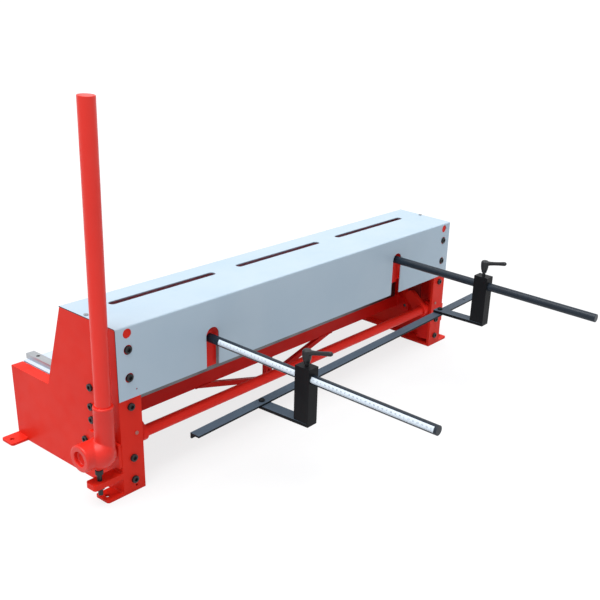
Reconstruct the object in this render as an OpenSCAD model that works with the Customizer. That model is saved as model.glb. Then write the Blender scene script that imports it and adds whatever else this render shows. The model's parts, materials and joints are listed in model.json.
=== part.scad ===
// Hand lever guillotine shear for sheet metal, bench model with a rear back gauge.
// Frame of the part: origin on the floor at the centre of the four foot bolt holes,
// +X along the cut toward the lever side, -Y toward the operator, +Z up.
// Every depth is counted from the rear face of the side frames, forward is negative.

/* [Side frames] */
// Width over the outer faces of the two side frames
width = 1150; // [700:1:1600]
// Thickness of the side plate and of its rear flange
plate_t = 8; // [5:0.5:14]
// Height of the tower of the side frame
tower_h = 368; // [300:1:460]
// Depth of the tower at its top
tower_top_d = 173; // [130:1:230]
// Depth of the tower where it meets the table shoulder
tower_low_d = 238; // [180:1:300]
// Depth of the whole side frame
frame_d = 374; // [280:1:520]
// Width of the folded inner rims, over the plate
rim_w = 28; // [16:1:45]
// Thickness of the folded rims and the foot tabs
rim_t = 6; // [4:0.5:10]
// Width of the rear flange, over the plate
flange_w = 54; // [40:1:90]
// Foot bolt hole, distance out from the plate face
foot_hole_out = 27; // [18:1:46]
// Overhang of the front foot tab in front of the plate
foot_over = 6; // [0:1:20]
// Rear foot hole, distance in from the rear face
foot_hole_in = 20; // [14:1:40]
// Foot bolt hole diameter
foot_hole_d = 11; // [8:0.5:16]
// Width of a foot tab
foot_tab_w = 42; // [30:1:70]
// Reach of a foot tab beyond the plate
foot_reach = 40; // [30:1:60]
// Corner radius of a foot tab
foot_corner_r = 6; // [2:0.5:14]
// Depth of the inner foot plate at the rear
foot_inner_d = 100; // [60:1:160]
// Lug under the cover, width along the frame
cover_lug_w = 30; // [20:1:44]
// Small hole in the rear flange, distance in from the plate face
drain_in = 32; // [20:1:46]
// Small hole in the rear flange, height
drain_z = 13; // [10:1:30]

/* [Table and lower blade] */
// Height of the table top over the floor
table_h = 177; // [120:1:260]
// Table top over the shoulder of the side frames
table_proud = 2; // [0:0.5:10]
// Thickness of the table plate
table_t = 12; // [8:0.5:20]
// Gap between table edge and rim
table_side_gap = 2; // [0.5:0.5:6]
// Distance from the rear face forward to the cutting plane
cut_in = 140; // [110:1:190]
// Blade thickness
blade_t = 12; // [8:0.5:18]
// Height of the lower blade
lower_blade_h = 58; // [40:1:80]
// Room between the blade ends and the side frames
blade_end_gap = 37; // [24:1:80]
// Underside of the bed beam over the floor
bed_low = 81; // [50:1:120]
// Distance from the rear face forward to the rear of the bed beam web
web_in = 147; // [141:1:151]
// Thickness of the bed beam web
bed_web_t = 21; // [18:1:50]
// Distance from the rear face forward to the bed end plates
bed_end_in = 106; // [90:1:112]
// Width of the top flange of the bed beam
bed_flange_w = 60; // [40:1:100]
// Thickness of the top flange of the bed beam
bed_flange_t = 12; // [8:1:20]
// Thickness of the bed end plates
bed_end_t = 12; // [8:1:20]
// Height of the front rail web
rail_h = 60; // [40:1:90]
// Thickness of the front rail
rail_t = 10; // [6:1:16]
// Squaring bar width
square_w = 20; // [14:1:30]
// Squaring bar height
square_h = 12; // [8:1:20]
// Squaring bar, distance of its outer side from the plate face
square_in = 40.5; // [32:0.5:80]
// Squaring bar, overhang in front of the side frame
square_over = 5; // [0:0.5:20]

/* [Truss under the bed] */
// Half distance between the outer feet of the V strap
truss_half = 251.3; // [180:0.1:360]
// Slope of the V strap
truss_slope = 0.268; // [0.15:0.001:0.3]
// Width of the V strap, along the beam
truss_strap_w = 50; // [30:1:90]
// Half width of the centre post
truss_post_half = 12; // [10:1:30]
// Thickness of the truss plate
truss_t = 12; // [6:1:20]
// Hole in the centre post
truss_hole_d = 7; // [4:0.5:14]

/* [Cover] */
// Cover sheet thickness
sheet_t = 2; // [1:0.25:3]
// Depth of the cover from the rear face forward
cover_d = 175; // [120:1:230]
// Front fold of the cover
cover_fold = 60; // [15:1:80]
// Top slots, distance of the outer ends from the cover ends
top_slot_end = 77; // [60:1:140]
// Width of a top slot
top_slot_w = 17.6; // [8:0.1:24]
// Bridge between two top slots
top_slot_gap = 69; // [30:1:120]
// Top slots, distance in from the rear face
top_slot_in = 116.5; // [80:0.5:140]
// Width of a rear slot for a gauge rod
rear_slot_w = 36; // [26:1:60]
// Room over the rod axis in the rear slot on the lever side
slot_over_near = 27; // [20:1:40]
// Room over the rod axis in the rear slot on the far side
slot_over_far = 18; // [14:1:30]
// Clearance hole over a flange bolt
cover_hole_d = 20.5; // [18:0.5:30]
// Cover screw, distance in from the plate face
cover_screw_in = 8; // [5:0.5:20]
// Cover screw, distance in from the rear face
cover_screw_y = 97; // [60:1:140]
// Top hole of the cover, distance under the top of the tower
cover_hole_down = 13; // [11:0.5:20]
// Tiny hole at the lower corner of the cover
cover_pin_d = 4; // [2:0.5:6]

/* [Blade beam] */
// Rake of the upper blade, rise per length
rake = 0.049; // [0.02:0.001:0.08]
// Lowest point of the upper blade over the table at rest
blade_open = 8; // [4:0.5:20]
// Height of the upper blade
upper_blade_h = 60; // [45:1:90]
// Set back of the beam edge above the blade edge
beam_back = 12; // [6:1:20]
// Thickness of the blade beam
beam_t = 20; // [14:1:32]
// Room between the beam top and the cover
beam_gap = 7; // [4:1:40]
// Room between the beam ends and the side frames
beam_end_gap = 17; // [14:1:40]
// Width of the stiffening rail on the beam
stiff_w = 46; // [30:1:70]
// Thickness of the stiffening rail
stiff_t = 10; // [6:1:16]
// Clearance between the blades
blade_gap = 0.15; // [0.05:0.05:0.5]
// Working travel of the blade beam
beam_travel = 66.9; // [40:0.1:90]

/* [Gauge rods and brackets] */
// Rod diameter
rod_d = 20; // [14:0.5:30]
// Half distance between the rods
rod_half = 329; // [220:1:420]
// Rod on the lever side, axis under the top of the tower
rod_down_near = 89; // [60:1:110]
// Rod on the far side, axis under the top of the tower
rod_down_far = 57; // [40:1:90]
// End of the lever side rod behind the rear face
rod_end_near = 586; // [300:1:800]
// End of the far rod behind the rear face
rod_end_far = 579; // [300:1:800]
// Bracket face, distance in from the rear face
bracket_in = 8; // [5:1:20]
// Bracket plate thickness
bracket_t = 10; // [6:1:16]
// Bracket width
bracket_w = 36; // [26:1:50]
// Bracket foot below the rod axis
bracket_drop = 67; // [45:1:90]
// Thickness of the bracket arm
bracket_arm_t = 12; // [8:1:18]
// Thickness of the bracket rib
bracket_rib_t = 8; // [5:1:14]
// Rod spigot diameter
spigot_d = 12; // [8:0.5:18]
// Length of the spigot
spigot_len = 22; // [16:1:32]
// Rod nut, width over flats
rod_nut_af = 19; // [13:0.5:27]
// Rod nut height
rod_nut_h = 8; // [6:0.5:12]
// Set in of the scale strip below the rod surface
strip_set = 0.1; // [0.05:0.05:0.5]
// Distance of the strip seat from the rod axis
strip_seat = 8; // [6:0.1:9.5]
// Start of the scale strip behind the rear face
strip_start = 28; // [10:1:60]
// Plain rod end behind the strip
strip_end_gap = 6; // [2:1:20]
// Turn of the strip about the rod, from level
strip_turn = 20; // [0:1:60]

/* [Shaft, cranks and links] */
// Shaft diameter
shaft_d = 25; // [18:0.5:40]
// Shaft axis, distance in from the rear face
shaft_in = 25; // [20:1:50]
// Height of the shaft axis
shaft_h = 112; // [90:1:150]
// Shaft end beyond the frame on the far side
shaft_out_far = 11; // [10:1:60]
// Shaft end beyond the frame on the lever side
shaft_out_near = 73; // [50:1:100]
// Crank radius
crank_r = 50; // [35:0.5:70]
// Crank angle above level at rest
crank_rest = 42; // [30:1:50]
// Middle of the link, distance in from the frame face
link_from = 56; // [50:0.5:120]
// Link thickness
link_t = 10; // [6:1:16]
// Link width
link_w = 40; // [30:1:50]
// Link length between pin centres
link_len = 110; // [90:1:140]
// Pin diameter
pin_d = 16; // [10:0.5:22]
// Running clearance of the pins
pin_fit = 0.05; // [0.02:0.01:0.1]
// Sideways free travel in the upper eye of the link
eye_free_y = 6.9; // [5:0.1:10]
// Vertical free travel in the upper eye of the link
eye_free_z = 1.6; // [1:0.1:4]
// Crank web thickness
crank_t = 13; // [8:1:22]
// Radius of the crank hub
crank_hub_r = 16; // [14:0.5:26]
// Radius of the crank web about shaft and pin
crank_web_r = 17.5; // [15:0.5:28]
// Side gap between crank, link and lug
side_gap = 1; // [0.5:0.25:3]
// Thickness of the beam lugs
lug_t = 10; // [6:1:16]
// Radius of the beam lugs
lug_r = 20; // [14:1:28]
// Diameter of the pin heads
pin_head_d = 24; // [18:1:32]
// Thickness of the pin heads
pin_head_t = 3; // [2:0.5:6]
// Collar on the far shaft end, diameter
collar_d = 32; // [28:1:60]
// Collar length
collar_len = 3; // [2:0.5:30]

/* [Bearings and guides] */
// Bush outer diameter
bush_d = 30; // [29:0.5:50]
// Bush running clearance on the shaft
bush_fit = 0.05; // [0.02:0.01:0.1]
// Bush flange diameter
bush_flange_d = 50; // [40:1:70]
// Bush flange thickness
bush_flange_t = 7; // [4:0.5:12]
// Length of the bearing block along the shaft
bearing_len = 41; // [30:1:60]
// Radius of the bearing block about the shaft
bearing_r = 22; // [18:0.5:30]
// Foot of the bearing block over the floor
bearing_low = 18; // [8:1:40]
// Width of the guide block along the cut
guide_w = 30; // [26:1:60]
// Gap between the bearing block and the guide block
guide_foot_gap = 2; // [1:0.5:20]
// Top of the guide block under the top of the tower
guide_down = 23; // [14:1:50]
// Front leg thickness of the guide block
guide_leg_t = 24; // [16:1:36]
// Rear leg thickness of the guide block
guide_rear_t = 18; // [10:1:26]
// Web thickness of the guide block
guide_web_t = 12; // [8:1:20]
// Sliding clearance of the blade beam on the guides
slide_gap = 0.1; // [0.05:0.05:0.4]
// Keeper thickness behind the guide leg
keeper_t = 10; // [6:1:16]
// Keeper reach behind the guide leg
keeper_reach = 26; // [16:1:36]

/* [Lever] */
// Lever tube diameter
tube_d = 32; // [25:0.5:45]
// Lever tube wall
tube_wall = 3; // [2:0.25:5]
// Middle of the lever beyond the frame
lever_out = 28; // [24:0.5:60]
// Top of the lever over the floor
lever_top = 804; // [600:1:1400]
// Backward lean of the lever
lever_lean = 1.45; // [0:0.05:10]
// Lever axis, distance behind the shaft axis
lever_off = 10.5; // [0:0.5:14]
// Socket diameter
socket_d = 40; // [34:0.5:50]
// Top of the socket over the floor
socket_top = 214; // [170:1:280]
// Ring at the socket top, diameter
ring_d = 41; // [36:0.5:54]
// Ring height
ring_h = 5; // [3:0.5:10]
// Hub diameter
hub_d = 57.5; // [40:0.5:70]
// Outer face of the hub beyond the frame
hub_out_end = 82; // [60:1:110]
// Inner end of the wide part of the hub beyond the frame
hub_out_start = 15; // [10:1:24]
// Diameter of the narrow neck at the inner end of the hub
neck_d = 37; // [32:1:50]
// Diameter of the recess at the outer end of the hub
recess_d = 32.5; // [28:0.5:44]
// Diameter of the round elbow
elbow_d = 60; // [50:0.5:72]
// Middle of the elbow beyond the frame
elbow_out = 33; // [28:0.5:60]
// Lower centre of the elbow under the shaft axis
elbow_drop = 3.7; // [0:0.1:6]
// Rounding at the inner end of the hub
hub_round = 12; // [4:1:20]
// Rounding at the outer end of the hub
hub_edge = 3; // [1:0.5:8]
// Side gap between hub and bush flange
hub_gap = 0.3; // [0.2:0.1:1]
// Height of the plug in the tube end
plug_h = 12; // [8:1:30]
// Working swing of the lever
lever_swing = 84; // [40:1:96]

/* [Lever stop] */
// Stop screw beyond the frame
stop_out = 47; // [36:1:80]
// Stop screw, distance in from the rear face
stop_in = 13; // [8:1:30]
// Top of the stop screw head under the shaft axis
stop_down = 33; // [28:0.5:40]
// Height of the stop screw head
stop_head_h = 10; // [6:1:14]
// Lower end of the stop screw
stop_low = 21; // [12:1:40]
// Top of the stop lug
stop_lug_top = 54; // [44:1:64]
// Thickness of the stop lug
stop_lug_t = 13; // [8:1:20]
// Width of the stop lug
stop_lug_w = 30; // [22:1:44]
// Heel pad diameter under the hub
heel_d = 14; // [10:0.5:20]
// Lock nut height
stop_nut_h = 6; // [4:0.5:10]

/* [Fasteners] */
// Bolt diameter
bolt_d = 10; // [6:1:14]
// Bolt head diameter
bolt_head_d = 16; // [10:1:22]
// Height of a flange bolt head
bolt_head_h = 5; // [4:0.5:14]
// Height of a side bolt head
side_head_h = 4.5; // [4:0.5:10]
// Width over flats of the hexagon recess
hex_af = 8; // [5:0.5:12]
// Depth of the hexagon recess
hex_deep = 3.5; // [2:0.5:8]
// Clearance round a bolt in a plain hole
bolt_clear = 0.5; // [0.3:0.1:1.5]
// Clearance round a screw in its tapped hole
tap_fit = 0.05; // [0.02:0.01:0.1]
// Length of a flange bolt under the head
flange_bolt_len = 34; // [20:1:60]
// Length of a side bolt under the head
side_bolt_len = 30; // [16:1:50]
// Flange bolt, distance in from the plate face
flange_bolt_in = 27.5; // [20:0.5:50]
// Blade screw diameter
screw_d = 8; // [5:0.5:12]
// Countersunk head diameter
screw_head_d = 15; // [10:0.5:20]
// Blade screw length
screw_len = 24; // [16:1:40]
// Small screw diameter
small_d = 5; // [3:0.5:8]
// Small screw head diameter
small_head_d = 9; // [6:0.5:14]
// Small screw head height
small_head_h = 2.6; // [1.5:0.1:5]
// Small screw length
small_len = 12; // [8:1:24]
// Oil plug diameter
plug_d = 6; // [4:0.5:10]
// Oil plug head diameter
plug_head_d = 8; // [6:0.5:12]
// Height of the oil plugs
oil_z = 134; // [125:1:150]
// Oil plug, distance in from the plate face
oil_in = 38; // [30:1:50]

/* [Back gauge] */
// Clamp block width along the cut
block_w = 27; // [20:1:40]
// Clamp block depth
block_d = 38; // [26:1:60]
// Clamp block rear face behind the rear face of the frame
block_back = 288; // [200:1:500]
// Top of a block over its rod axis
block_up = 24.5; // [18:0.5:40]
// Arm top on the lever side
arm_top_near = 184; // [150:1:210]
// Arm underside on the far side
arm_low_far = 208; // [170:1:240]
// Thickness of the arms
arm_t = 7; // [4:0.5:12]
// Sideways run of the arms toward the lever side, back to front
arm_skew = 7; // [0:0.5:12]
// Front of the stop bar behind the rear face of the frame
bar_front = 143; // [60:1:200]
// Width of the stop bar flat
bar_w = 24; // [18:1:50]
// Thickness of the stop bar
bar_t = 4; // [3:0.5:8]
// Drop of the stop bar leg
bar_leg = 12; // [8:1:30]
// Stop bar end on the lever side
bar_near = 520; // [420:1:560]
// Stop bar end on the far side
bar_far = 500; // [420:1:560]
// Free hole near the far end of the stop bar
bar_hole_x = 440; // [380:1:480]
// Diameter of the button heads on the stop bar
bar_head_d = 13.5; // [8:0.5:20]
// Height of the button heads on the stop bar
bar_head_h = 4.8; // [2:0.1:8]
// Bore clearance of the blocks on the rods
block_fit = 0.05; // [0.02:0.01:0.1]
// Travel of the gauge toward the blades
gauge_in_travel = 140; // [60:1:200]
// Travel of the gauge away from the blades
gauge_out_travel = 285; // [100:1:400]

/* [Clamping levers] */
// Hub diameter at the top
clamp_hub_d = 20; // [12:0.5:24]
// Hub diameter at its foot
clamp_foot_d = 13; // [8:0.5:18]
// Hub height
clamp_hub_h = 31; // [18:1:40]
// Stud diameter
clamp_stud_d = 8; // [5:0.5:12]
// Free stud below the hub on the lever side
clamp_free_near = 5; // [1:0.5:12]
// Free stud below the hub on the far side
clamp_free_far = 9; // [1:0.5:14]
// Handle length from the hub axis
clamp_len = 62; // [40:1:90]
// Handle diameter at the hub
clamp_root_d = 12; // [8:0.5:16]
// Handle diameter at the tip
clamp_tip_d = 9; // [6:0.5:14]
// Rise of the handle
clamp_rise = 13; // [0:1:25]
// Turn of the handle on the lever side, from straight back
clamp_turn_near = 5; // [-90:1:90]
// Turn of the handle on the far side, from straight back
clamp_turn_far = -2; // [-90:1:90]
// Cap radius on the clamping hub
clamp_cap_r = 4; // [2:0.5:8]

/* [Hidden] */
$fn = 64;
foot_pitch_x = width + 2 * foot_hole_out;
foot_pitch_y = frame_d + foot_over - foot_tab_w;
rear_y = foot_pitch_y / 2 + foot_hole_in;
half_w = width / 2;
in_face = half_w - plate_t;
rim_in = half_w - rim_w;
flange_in = half_w - flange_w;
shoulder_h = table_h - table_proud;
bolt_r = bolt_d / 2;
hole_r = bolt_r + bolt_clear;
tap_r = bolt_r + tap_fit;
screw_r = screw_d / 2;
screw_tap_r = screw_r + tap_fit;
small_r = small_d / 2;
small_tap_r = small_r + tap_fit;
flange_bolt_x = half_w - flange_bolt_in;
guide_low = shaft_h + bearing_r + guide_foot_gap;
guide_top = tower_h - guide_down;
guide_bolt_shares = [0.885198, 0.598017, 0.291820];
bearing_bolt_shares = [0.659609, 0.117004];
guide_side_shares = [[0.760492, 0.394649], [0.676342, 0.181772], [0.676342, 0.038270]];
bed_side_shares = [0.329098, 0.183916];
cover_low_share = 0.380383;
cover_low = guide_low + (guide_top - guide_low) * cover_low_share;
blade_half = in_face - blade_end_gap;
screw_shares = [-0.85, -0.51, -0.17, 0.17, 0.51, 0.85];
square_screw_shares = [0.882072, 0.427207, 0.022883];
top_slot_len = (width - 2 * top_slot_end - 2 * top_slot_gap) / 3;
rod_z_near = tower_h - rod_down_near;
rod_z_far = tower_h - rod_down_far;
rear_slot_top_near = rod_z_near + slot_over_near;
rear_slot_top_far = rod_z_far + slot_over_far;
beam_top = tower_h - beam_gap;
beam_front = -cut_in + blade_gap + blade_t;
beam_rear = beam_front + beam_t;
beam_half = in_face - beam_end_gap;
blade_low_near = table_h + blade_open;
beam_low_near = blade_low_near + beam_back;
pin_y = -shaft_in - crank_r * cos(crank_rest);
pin_z = shaft_h + crank_r * sin(crank_rest);
eye_y = (pin_y - shaft_in - crank_r) / 2;
eye_z = pin_z + link_len;
link_x = half_w - link_from;
bearing_x = in_face - bearing_len;
shaft_far = half_w + shaft_out_far;
shaft_near = half_w + shaft_out_near;
lever_x = half_w + lever_out;
hub_end = half_w + hub_out_end;
hub_start = half_w + hub_out_start;
elbow_x = half_w + elbow_out;
stop_x = half_w + stop_out;
stop_top = shaft_h - stop_down;
link_in = link_x - link_t / 2;
link_out = link_x + link_t / 2;
crank_out = link_in - side_gap;
crank_in = crank_out - crank_t;
lug_in_out = link_in - side_gap - side_gap;
lug_out_in = link_out + side_gap + side_gap + side_gap;
bush_r = bush_d / 2;
block_y = block_back - block_d / 2;
bar_rise = (arm_low_far - arm_top_near - bar_t) / (2 * rod_half);
bar_tilt = atan(bar_rise);
bar_screw_y = bar_front + bar_w * 0.46;
guide_in = in_face - guide_w;
guide_front = beam_rear + slide_gap;
guide_leg_back = guide_front + guide_leg_t;
lower_top = table_h;
lower_low = lower_top - lower_blade_h;
keeper_share = 0.716883;
keeper_h = (beam_top - eye_z + lug_r) * keeper_share;
stop_lug_end = stop_x + stop_lug_w * 0.72;
clamp_bore_r = clamp_stud_d / 2 + tap_fit;

// Height of the upper blade edge at a place along the cut
function blade_low(x) = blade_low_near + rake * (blade_half - x);
// Height of the stop bar underside at a place along the cut
function bar_low(x) = arm_top_near + bar_rise * (rod_half - x);

// Height of a bolt in the guide block, at a share of the block
function guide_bolt_z(s) = guide_low + (guide_top - guide_low) * s;

// Place along the cut of the bar screw in an arm
function bar_screw_x(x) = x + arm_skew * (block_back - bar_screw_y) / (block_back - bar_front);

module placed() {
    translate([0, rear_y, 0]) children();
}
module far_side() {
    mirror([1, 0, 0]) children();
}
// A plane shape of depth and height, drawn out along the cut
module along_x(x0, t) {
    translate([x0, 0, 0]) rotate([90, 0, 90]) linear_extrude(t) children();
}
// A plane shape of width and height, drawn forward from y0
module along_y(y0, t) {
    translate([0, y0, 0]) rotate([90, 0, 0]) linear_extrude(t) children();
}
module pin_x(x0, x1, y, z, r) {
    translate([x0, y, z]) rotate([0, 90, 0]) cylinder(h = x1 - x0, r = r);
}
module pin_y_axis(x, y0, y1, z, r) {
    translate([x, y0, z]) rotate([-90, 0, 0]) cylinder(h = y1 - y0, r = r);
}
module box(x0, x1, y0, y1, z0, z1) {
    translate([x0, y0, z0]) cube([x1 - x0, y1 - y0, z1 - z0]);
}
// A cap screw, head up, its shank below the origin
module cap_screw(d, len, head_d, head_h, af, deep) {
    difference() {
        union() {
            cylinder(h = head_h, r = head_d / 2);
            translate([0, 0, -len]) cylinder(h = len, r = d / 2);
        }
        translate([0, 0, head_h - deep]) cylinder(h = head_h, r = af / sqrt(3), $fn = 6);
    }
}
// A countersunk screw, its flat top at the origin
module sunk_screw(d, len, head_d) {
    difference() {
        union() {
            translate([0, 0, -(head_d - d) / 2])
                cylinder(h = (head_d - d) / 2, r1 = d / 2, r2 = head_d / 2);
            translate([0, 0, -len]) cylinder(h = len, r = d / 2);
        }
        translate([0, 0, -d / 2]) cylinder(h = d, r = d * 0.36, $fn = 6);
    }
}
// The room that a countersunk screw takes in a plate
module sunk_hole(d, len, head_d) {
    translate([0, 0, -(head_d - d) / 2])
        cylinder(h = (head_d - d) / 2, r1 = d / 2 + tap_fit, r2 = head_d / 2 + tap_fit);
    translate([0, 0, -len]) cylinder(h = len, r = d / 2 + tap_fit);
}
// Places of the side bolts on the near side, three in the guide block, one in the bed
module at_side_bolts(x) {
    for (s = guide_side_shares)
        translate([x, guide_front + guide_leg_t * s[0], guide_bolt_z(s[1])])
            rotate([0, 90, 0]) children();
    translate([x, -bed_end_in - (web_in - bed_end_in) * bed_side_shares[0],
        bed_low + (lower_low - bed_low) * bed_side_shares[1]]) rotate([0, 90, 0]) children();
}
// Places of the flange bolts, three in the guide block, two in the bearing block
module at_flange_bolts(y) {
    for (s = guide_bolt_shares)
        translate([flange_bolt_x, y, guide_bolt_z(s)]) rotate([-90, 0, 0]) children();
    for (s = bearing_bolt_shares)
        translate([flange_bolt_x, y, bearing_low + (shaft_h - bearing_low) * s])
            rotate([-90, 0, 0]) children();
}

// Side frame: plate with folded rims, rear flange, foot tabs and a lug for the cover
module side_plate_shape() {
    polygon([[0, 0], [0, tower_h], [-tower_top_d, tower_h], [-tower_low_d, shoulder_h],
        [-frame_d, shoulder_h], [-frame_d, 0]]);
}
module foot_tab(y0) {
    linear_extrude(rim_t) difference() {
        union() {
            translate([in_face, y0 - foot_tab_w])
                square([half_w + foot_reach - foot_corner_r - in_face, foot_tab_w]);
            translate([in_face, y0 - foot_tab_w + foot_corner_r])
                square([half_w + foot_reach - in_face, foot_tab_w - 2 * foot_corner_r]);
            translate([half_w + foot_reach - foot_corner_r, y0 - foot_corner_r])
                circle(foot_corner_r);
            translate([half_w + foot_reach - foot_corner_r, y0 - foot_tab_w + foot_corner_r])
                circle(foot_corner_r);
        }
        translate([foot_pitch_x / 2, y0 - foot_hole_in]) circle(foot_hole_d / 2);
    }
}
module side_frame() {
    difference() {
        union() {
            along_x(in_face, plate_t) side_plate_shape();
            box(rim_in, half_w, -frame_d, -tower_low_d, shoulder_h - rim_t, shoulder_h);
            box(rim_in, half_w, -frame_d, -foot_inner_d, 0, rim_t);
            box(flange_in, half_w, -plate_t, 0, 0, tower_h);
            box(flange_in, half_w, -foot_inner_d, 0, 0, rim_t);
            box(in_face - cover_lug_w / 2, half_w, -cover_screw_y - cover_lug_w / 2,
                -cover_screw_y + cover_lug_w / 2, tower_h - plate_t, tower_h);
            foot_tab(0);
            foot_tab(-foot_pitch_y);
        }
        pin_x(rim_in, half_w + plate_t, -shaft_in, shaft_h, bush_r + tap_fit);
        at_side_bolts(in_face - plate_t) cylinder(h = 3 * plate_t, r = hole_r);
        at_flange_bolts(-2 * plate_t) cylinder(h = 3 * plate_t, r = hole_r);
        translate([half_w - cover_screw_in, -cover_screw_y, tower_h - 2 * plate_t])
            cylinder(h = 3 * plate_t, r = small_tap_r);
        pin_y_axis(half_w - oil_in, -2 * plate_t, plate_t, oil_z, plug_d / 2 + tap_fit);
    }
}
module side_frame_near() {
    color([0.82, 0.16, 0.12]) placed() {
        difference() {
            side_frame();
            pin_y_axis(half_w - drain_in, -2 * plate_t, plate_t, drain_z, small_r);
        }
        stop_lug();
    }
}
module side_frame_far() {
    color([0.82, 0.16, 0.12]) placed() far_side() side_frame();
}
// Lug welded to the lever side plate, tapped for the stop screw
module stop_lug() {
    translate([0, 0, stop_lug_top - stop_lug_t]) linear_extrude(stop_lug_t) difference() {
        union() {
            translate([half_w, -stop_lug_w]) square([stop_x - half_w, stop_lug_w]);
            translate([stop_x, -stop_lug_w + foot_corner_r])
                square([stop_lug_end - stop_x, stop_lug_w - 2 * foot_corner_r]);
            translate([stop_x, -stop_lug_w])
                square([stop_lug_end - stop_x - foot_corner_r, stop_lug_w]);
            translate([stop_lug_end - foot_corner_r, -foot_corner_r]) circle(foot_corner_r);
            translate([stop_lug_end - foot_corner_r, -stop_lug_w + foot_corner_r])
                circle(foot_corner_r);
        }
        translate([stop_x, -stop_in]) circle(tap_r);
    }
}

// Bed beam: web, top flange under the table, rear step for the blade, two end plates
module bed_beam() {
    web_front = -web_in - bed_web_t;
    color([0.7, 0.11, 0.09]) placed() difference() {
        union() {
            along_x(-in_face + bed_end_t, 2 * (in_face - bed_end_t)) polygon([
                [-web_in, bed_low], [-web_in, lower_low],
                [-cut_in - blade_t, lower_low], [-cut_in - blade_t, table_h - table_t],
                [-cut_in - bed_flange_w, table_h - table_t],
                [-cut_in - bed_flange_w, table_h - table_t - bed_flange_t],
                [web_front, table_h - table_t - bed_flange_t], [web_front, bed_low]]);
            for (m = [0, 1]) mirror([m, 0, 0])
                along_x(in_face - bed_end_t, bed_end_t) bed_end_shape();
        }
        at_lower_screws() translate([0, 0, -screw_len])
            cylinder(h = screw_len, r = screw_tap_r);
        for (m = [0, 1]) mirror([m, 0, 0])
            at_side_bolts(in_face - side_bolt_len) cylinder(h = side_bolt_len, r = tap_r);
    }
}
module bed_end_shape() {
    polygon([[-bed_end_in, bed_low - blade_t], [-bed_end_in, bed_low + blade_t],
        [-web_in, lower_low], [-cut_in - blade_t, lower_low],
        [-cut_in - blade_t, table_h - table_t], [-cut_in - bed_flange_w, table_h - table_t],
        [-cut_in - bed_flange_w, bed_low - blade_t]]);
}
module at_lower_screws() {
    for (s = screw_shares)
        translate([s * blade_half, -cut_in, lower_low + lower_blade_h / 2])
            rotate([-90, 0, 0]) children();
}
// Truss under the bed: V strap and centre post cut from one plate
module bed_truss() {
    tip = truss_half * truss_slope;
    inner = truss_half - truss_strap_w;
    knee = bed_low - (inner - truss_post_half) * truss_slope;
    color([0.7, 0.11, 0.09]) placed() along_y(-web_in, truss_t) difference() {
        polygon([[-truss_half, bed_low], [0, bed_low - tip], [truss_half, bed_low],
            [inner, bed_low], [truss_post_half, knee], [truss_post_half, bed_low],
            [-truss_post_half, bed_low], [-truss_post_half, knee], [-inner, bed_low]]);
        translate([0, bed_low - tip / 2]) circle(truss_hole_d / 2);
    }
}
module front_rail() {
    top = table_h - table_t;
    color([0.7, 0.11, 0.09]) placed() {
        box(-in_face, in_face, -frame_d, -frame_d + rail_t, top - rail_h, top);
        box(-rim_in, rim_in, -frame_d + rail_t, -frame_d + 3 * rail_t, top - rail_t, top);
    }
}
module table_plate() {
    edge = rim_in - table_side_gap;
    color([0.55, 0.6, 0.65]) placed() difference() {
        box(-edge, edge, -frame_d, -cut_in - blade_t, table_h - table_t, table_h);
        at_square_screws(table_h) translate([0, 0, -table_t])
            cylinder(h = table_t, r = small_tap_r);
    }
}
module lower_blade() {
    color([0.25, 0.26, 0.28]) placed() difference() {
        box(-blade_half, blade_half, -cut_in - blade_t, -cut_in, lower_low, lower_top);
        at_lower_screws() sunk_hole(screw_d, 2 * blade_t, screw_head_d);
    }
}
module lower_blade_screws() {
    color([0.1, 0.1, 0.11]) placed() at_lower_screws()
        sunk_screw(screw_d, screw_len, screw_head_d);
}
module squaring_bar() {
    x1 = half_w - square_in;
    color([0.62, 0.65, 0.68]) placed() difference() {
        box(x1 - square_w, x1, -frame_d - square_over, -cut_in - side_gap,
            table_h, table_h + square_h);
        at_square_screws(table_h + square_h) sunk_hole(small_d, 2 * square_h, small_head_d);
    }
}
module at_square_screws(z) {
    back = cut_in + blade_t;
    for (s = square_screw_shares)
        translate([half_w - square_in - square_w / 2, -back - (frame_d - back) * s, z]) children();
}
module squaring_bar_screws() {
    color([0.1, 0.1, 0.11]) placed() at_square_screws(table_h + square_h)
        sunk_screw(small_d, square_h + table_t * 0.8, small_head_d);
}

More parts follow.
